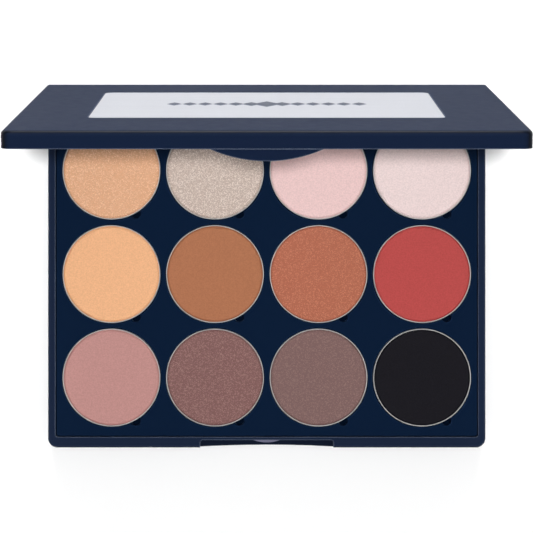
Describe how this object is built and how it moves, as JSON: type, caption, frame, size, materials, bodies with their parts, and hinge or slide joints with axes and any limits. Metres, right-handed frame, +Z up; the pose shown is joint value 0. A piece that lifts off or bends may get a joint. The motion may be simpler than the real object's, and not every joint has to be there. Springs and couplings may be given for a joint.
{
  "type": "eyeshadow palette",
  "caption": "Flat hinged cosmetic palette with round lift-out powder pans in a moulded tray and a mirror in the lid.",
  "frame": {"origin": "middle of the flat underside that the palette rests on", "axes": "+Z up, +X to the user's right along the hinge, -Y towards the front edge with the thumb recess"},
  "size_m": [0.1176, 0.0966, 0.0995],
  "materials": {
    "shell_plastic": "satin navy moulding",
    "tray_plastic": "fine matte navy moulding",
    "plate_metal": "brushed",
    "pan_metal": "pressed tinplate",
    "pin_steel": "drawn wire",
    "magnet": "nickel plated",
    "mirror_glass": "silvered glass",
    "adhesive": "adhesive film",
    "powder_peach_gold": "pressed powder",
    "powder_champagne": "pressed powder",
    "powder_blush_pink": "pressed powder",
    "powder_ivory_rose": "pressed powder",
    "powder_apricot": "pressed powder",
    "powder_caramel": "pressed powder",
    "powder_copper": "pressed powder",
    "powder_coral_red": "pressed powder",
    "powder_dusty_rose": "pressed powder",
    "powder_plum_brown": "pressed powder",
    "powder_taupe": "pressed powder",
    "powder_black": "pressed powder"
  },
  "bodies": {
    "base": {"base_shell": "shell_plastic", "inner_tray": "tray_plastic", "pan_magnets": "magnet", "hinge_pin_left": "pin_steel", "hinge_pin_right": "pin_steel"},
    "lid": {"lid_shell": "shell_plastic", "lid_plate": "plate_metal", "plate_adhesive": "adhesive", "mirror": "mirror_glass", "mirror_adhesive": "adhesive"},
    "refill_peach_gold": {"pan_peach_gold": "pan_metal", "powder_peach_gold": "powder_peach_gold"},
    "refill_champagne": {"pan_champagne": "pan_metal", "powder_champagne": "powder_champagne"},
    "refill_blush_pink": {"pan_blush_pink": "pan_metal", "powder_blush_pink": "powder_blush_pink"},
    "refill_ivory_rose": {"pan_ivory_rose": "pan_metal", "powder_ivory_rose": "powder_ivory_rose"},
    "refill_apricot": {"pan_apricot": "pan_metal", "powder_apricot": "powder_apricot"},
    "refill_caramel": {"pan_caramel": "pan_metal", "powder_caramel": "powder_caramel"},
    "refill_copper": {"pan_copper": "pan_metal", "powder_copper": "powder_copper"},
    "refill_coral_red": {"pan_coral_red": "pan_metal", "powder_coral_red": "powder_coral_red"},
    "refill_dusty_rose": {"pan_dusty_rose": "pan_metal", "powder_dusty_rose": "powder_dusty_rose"},
    "refill_plum_brown": {"pan_plum_brown": "pan_metal", "powder_plum_brown": "powder_plum_brown"},
    "refill_taupe": {"pan_taupe": "pan_metal", "powder_taupe": "powder_taupe"},
    "refill_black": {"pan_black": "pan_metal", "powder_black": "powder_black"}
  },
  "joints": [
    {"name": "lid_hinge", "type": "hinge", "parent": "base", "child": "lid", "pos_m": [0, 0.0441, 0.008], "axis": [-1, 0, 0], "range_deg": [-78.5, 30.5]},
    {"name": "lift_peach_gold", "type": "slide", "parent": "base", "child": "refill_peach_gold", "axis": [0, 0, 1], "range_m": [0, 0.006]},
    {"name": "lift_champagne", "type": "slide", "parent": "base", "child": "refill_champagne", "axis": [0, 0, 1], "range_m": [0, 0.006]},
    {"name": "lift_blush_pink", "type": "slide", "parent": "base", "child": "refill_blush_pink", "axis": [0, 0, 1], "range_m": [0, 0.006]},
    {"name": "lift_ivory_rose", "type": "slide", "parent": "base", "child": "refill_ivory_rose", "axis": [0, 0, 1], "range_m": [0, 0.006]},
    {"name": "lift_apricot", "type": "slide", "parent": "base", "child": "refill_apricot", "axis": [0, 0, 1], "range_m": [0, 0.006]},
    {"name": "lift_caramel", "type": "slide", "parent": "base", "child": "refill_caramel", "axis": [0, 0, 1], "range_m": [0, 0.006]},
    {"name": "lift_copper", "type": "slide", "parent": "base", "child": "refill_copper", "axis": [0, 0, 1], "range_m": [0, 0.006]},
    {"name": "lift_coral_red", "type": "slide", "parent": "base", "child": "refill_coral_red", "axis": [0, 0, 1], "range_m": [0, 0.006]},
    {"name": "lift_dusty_rose", "type": "slide", "parent": "base", "child": "refill_dusty_rose", "axis": [0, 0, 1], "range_m": [0, 0.006]},
    {"name": "lift_plum_brown", "type": "slide", "parent": "base", "child": "refill_plum_brown", "axis": [0, 0, 1], "range_m": [0, 0.006]},
    {"name": "lift_taupe", "type": "slide", "parent": "base", "child": "refill_taupe", "axis": [0, 0, 1], "range_m": [0, 0.006]},
    {"name": "lift_black", "type": "slide", "parent": "base", "child": "refill_black", "axis": [0, 0, 1], "range_m": [0, 0.006]}
  ]
}
